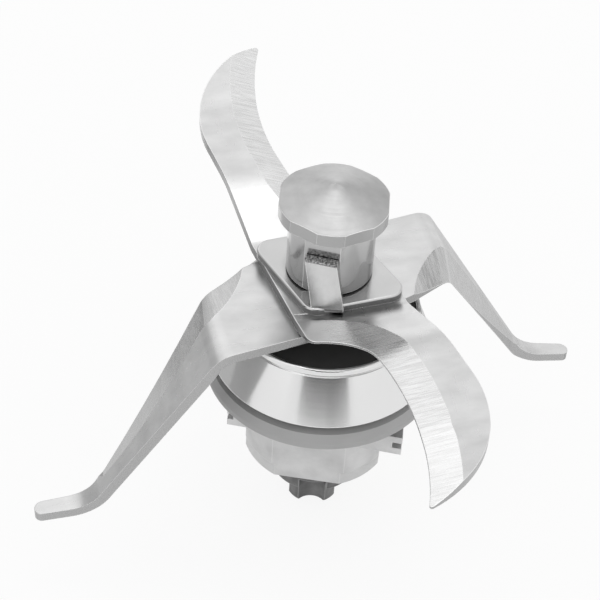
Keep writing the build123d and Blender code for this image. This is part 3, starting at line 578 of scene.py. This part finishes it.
# %% [markdown]
# ## Give each node its finish
# A finish could be set by hand on each of the nodes. The record of the part already says which
# one each node takes, so a loop hands them out and none is forgotten.

# %% Hand out the finishes
for subpart in frame["record"]["subparts"]:
    node = nodes[subpart["node"]]
    node.data.materials.clear()
    node.data.materials.append(materials[subpart["material_slot"]])

# %% [markdown]
# ## The room
# Bright metal is a picture of the room around it. The room here is a white sweep, a sheet of
# paper that curves up behind the part. A picture of a real studio could light it, but three
# levels are enough: the camera sees plain white, the part is lit by a slightly softer white, and
# metal mirrors a sweep that gets darker towards the horizon, which shades the round pieces.

# %% Who looks at the room
def ray_kinds(tree):
    """Masks of what the camera sees straight, and of what it sees in metal or glass."""
    path = add(tree, "LightPath").outputs
    mirrored = add(tree, "Math", {"operation": "MAXIMUM"}, {
        0: path["Is Glossy Ray"], 1: path["Is Transmission Ray"],
    })
    return path["Is Camera Ray"], mirrored


print("the room can tell the camera's rays from mirrored ones")

# %% Room
HORIZON_LEVEL = 0.75
SWEEP_RISE = {"From Min": 0.2, "From Max": 0.9}
ROOM_LIGHT = 0.90
WHITE = (1.0, 1.0, 1.0, 1.0)

world = bpy.data.worlds.new("studio_room")
bpy.context.scene.world = world
world.use_nodes = True
room = world.node_tree
room.nodes.clear()
direction = add(room, "TexCoord").outputs["Generated"]
upward = add(room, "SeparateXYZ", None, {"Vector": direction}).outputs["Z"]
sweep = add(room, "MapRange", {"interpolation_type": "SMOOTHSTEP"}, {
    "Value": upward, **SWEEP_RISE, "To Min": HORIZON_LEVEL, "To Max": 1.0,
})
straight, mirrored = ray_kinds(room)
lit = add(room, "Mix", None, {"Factor": straight, "A": ROOM_LIGHT, "B": 1.0})
level = add(room, "Mix", None, {"Factor": mirrored, "A": lit, "B": sweep})
backdrop = add(room, "Background", None, {"Color": WHITE, "Strength": level})
add(room, "OutputWorld", None, {"Surface": backdrop})
print("the sweep runs from", HORIZON_LEVEL, "at the horizon to 1.0 overhead")

# %% [markdown]
# ## The floor
# The part stands on white paper. Plain paint would come out grey, and a glowing sheet would lose
# the shadow, so the floor mixes the two. The camera sees mostly glow, with enough paint to keep
# the shadow, and metal sees mostly paint.

# %% Floor
FLOOR_RADIUS = 1.6
FLOOR_WHITE = 0.88
FLOOR_IN_METAL = 0.25

bpy.ops.mesh.primitive_circle_add(
    vertices=96, radius=FLOOR_RADIUS, fill_type="NGON", location=(0, 0, cad_low.z),
)
floor = bpy.context.object
floor.name = "studio_floor"
tree = new_material("floor_paint")
paint = add(tree, "BsdfDiffuse", None, {"Color": "f0f0f0"})
glow = add(tree, "Emission", None, {"Color": WHITE, "Strength": 1.0})
straight, mirrored = ray_kinds(tree)
in_metal = add(tree, "Math", MULTIPLY, {0: mirrored, 1: FLOOR_IN_METAL})
share = add(tree, "Math", {"operation": "MULTIPLY_ADD"}, {
    0: straight, 1: FLOOR_WHITE, 2: in_metal,
})
finish_with(tree, add(tree, "MixShader", None, {0: share, 1: paint, 2: glow}))
floor.data.materials.append(materials["floor_paint"])
print("floor at", round(cad_low.z * PER_METRE, 2), "mm")

# %% [markdown]
# ## The lamp
# One soft lamp hangs overhead. A small lamp would throw a hard shadow, so it is as large as a
# softbox. It is kept out of reflections: a card of about its size, made with the others further
# on, is what the metal mirrors, and so the lamp's light and its mirror image are set apart.

# %% Lamp
LAMP_PLACE = (0.0, 0.09, 0.9)
LAMP_SIZE = (0.48, 0.26)
LAMP_WATTS = 0.55
LAMP_TARGET = Vector((0, 0, 0.05))

lamp_data = bpy.data.lights.new("overhead_lamp", "AREA")
lamp_data.shape = "RECTANGLE"
lamp_data.size, lamp_data.size_y = LAMP_SIZE
lamp_data.energy = LAMP_WATTS
lamp = bpy.data.objects.new("overhead_lamp", lamp_data)
lamp.location = LAMP_PLACE
bpy.context.scene.collection.objects.link(lamp)
lamp.rotation_euler = (LAMP_TARGET - lamp.location).to_track_quat("-Z", "Y").to_euler()
lamp.visible_glossy = False
print("lamp of", LAMP_WATTS, "W hangs at", round(lamp.location.z, 2), "m")

# %% [markdown]
# ## Cards
# A photographer of bright metal sets white and grey cards round the piece, out of the picture,
# and moves each one until it shows in the face it is meant for. Lamps could do it too, but a card
# has one even grey and sharp sides, which is what gives the polished cone its bands. The cards
# here glow in their own grey and are seen only in reflections, so they throw no shadow and light
# nothing that is matt.

# %% Cards
CARD_FOOT = 0.002


def board(name, corners, grey, strength):
    """A card of one grey, seen only in the part's reflections."""
    mesh = bpy.data.meshes.new(name)
    mesh.from_pydata(corners, [], [(0, 1, 2, 3)])
    card = bpy.data.objects.new(name, mesh)
    bpy.context.scene.collection.objects.link(card)
    tree = new_material(name + "_paint")
    finish_with(tree, add(tree, "Emission", None, {"Color": grey, "Strength": strength}))
    mesh.materials.append(materials[name + "_paint"])
    card.visible_camera = False
    card.visible_diffuse = False
    card.visible_shadow = False


def standing(name, bearing, distance, width, foot, top, grey, strength):
    """A card that stands at a bearing, counted from the front towards the right."""
    turn = Matrix.Rotation(radians(bearing), 3, "Z")
    half = width / 2
    outline = [(-half, foot), (half, foot), (half, top), (-half, top)]
    board(name, [turn @ Vector((x, -distance, z)) for x, z in outline], grey, strength)


def lying(name, left, right, front, rear, height, grey, strength):
    """A card that lies level at a height."""
    outline = [(left, front), (right, front), (right, rear), (left, rear)]
    board(name, [(x, y, height) for x, y in outline], grey, strength)


print("cards stand or lie from", CARD_FOOT * PER_METRE, "mm above the floor")

# %% [markdown]
# ## Where the cards go
# A line from the camera to a face, mirrored there, ends where that face's card belongs. The low
# standing cards make the bands on the cone and the nut, and the high ones at the back are what
# the nearly level faces mirror. The legs and the steep bevels mirror the floor, so their cards
# lie on it. The softbox overhead makes the fan of light on the nut.

# %% Place the cards
# Name, bearing in degrees, distance, width, foot, top, grey and strength.
standing_cards = (
    ("front_card", 10, 0.45, 0.37, CARD_FOOT, 0.29, "303030", 1.0),
    ("front_left_card", -36, 0.46, 0.22, CARD_FOOT, 0.30, "ffffff", 0.95),
    ("left_card", -64, 0.15, 0.05, CARD_FOOT, 0.14, "5c5c5c", 1.0),
    ("left_rear_card", -86, 0.15, 0.05, CARD_FOOT, 0.14, "b8b8b8", 1.0),
    ("side_left_card", -106, 0.40, 0.25, CARD_FOOT, 0.25, "b8b8b8", 1.0),
    ("front_right_card", 50, 0.46, 0.22, CARD_FOOT, 0.30, "ffffff", 0.92),
    ("back_right_card", 139, 0.60, 0.14, 0.48, 0.68, "747474", 1.0),
    ("back_card", 180, 0.90, 0.70, CARD_FOOT, 0.28, "ffffff", 1.1),
    ("back_left_card", -148, 0.60, 0.30, 0.31, 0.60, "ffffff", 1.30),
)
# Name, left, right, front, rear, height, grey and strength.
lying_cards = (
    ("left_floor_card", -0.106, -0.06, -0.04, 0.045, CARD_FOOT, "e4e4e4", 1.0),
    ("leg_floor_card", -0.32, -0.172, -0.02, 0.10, CARD_FOOT, "d4d4d4", 1.0),
    ("shin_floor_card", -0.172, -0.106, -0.04, 0.045, CARD_FOOT, "b4b4b4", 1.0),
    ("knee_floor_card", -0.172, -0.088, 0.045, 0.22, CARD_FOOT, "a0a0a0", 1.0),
    ("rear_left_floor_card", -0.60, -0.172, 0.10, 0.60, CARD_FOOT, "a8a8a8", 1.0),
    ("rear_floor_card", -0.085, 0.0, 0.045, 0.60, CARD_FOOT, "ffffff", 1.2),
    ("rear_right_floor_card", 0.0, 0.075, 0.03, 0.60, CARD_FOOT, "d4d4d4", 1.0),
    ("front_floor_card", -0.08, 0.08, -0.44, -0.26, CARD_FOOT, "ffffff", 1.2),
    ("softbox", -0.24, 0.24, -0.04, 0.26, 0.90, "ffffff", 2.0),
)
for row in standing_cards:
    standing(*row)
for row in lying_cards:
    lying(*row)
print("placed", len(standing_cards), "standing and", len(lying_cards), "lying cards")

# %% [markdown]
# ## The camera
# The picture was taken from above the front of the part with a long lens. A camera could be aimed
# by eye, but the round pieces tell where it stood: a circle seen at a slant is an ellipse, and
# its width and height give the slant. So the place and the axes are set as they were worked out.

# %% Camera
LENS_MM = 96.0
SENSOR_MM = 36.0
NEAREST = 0.01

eye = Vector((0.01819, -0.22108, 0.26161))
right = Vector((0.98784, 0.14821, 0.04697))
up = Vector((-0.13553, 0.67288, 0.72723))
back = right.cross(up)
camera_data = bpy.data.cameras.new("camera")
camera_data.lens = LENS_MM
camera_data.sensor_width = SENSOR_MM
camera_data.clip_start = NEAREST
camera = bpy.data.objects.new("camera", camera_data)
axes = Matrix((right, up, back)).transposed().to_4x4()
camera.matrix_world = Matrix.Translation(eye) @ axes
bpy.context.scene.collection.objects.link(camera)
bpy.context.scene.camera = camera
bpy.context.scene.view_settings.view_transform = "Standard"
print("camera at", [round(v * PER_METRE) for v in eye], "mm")
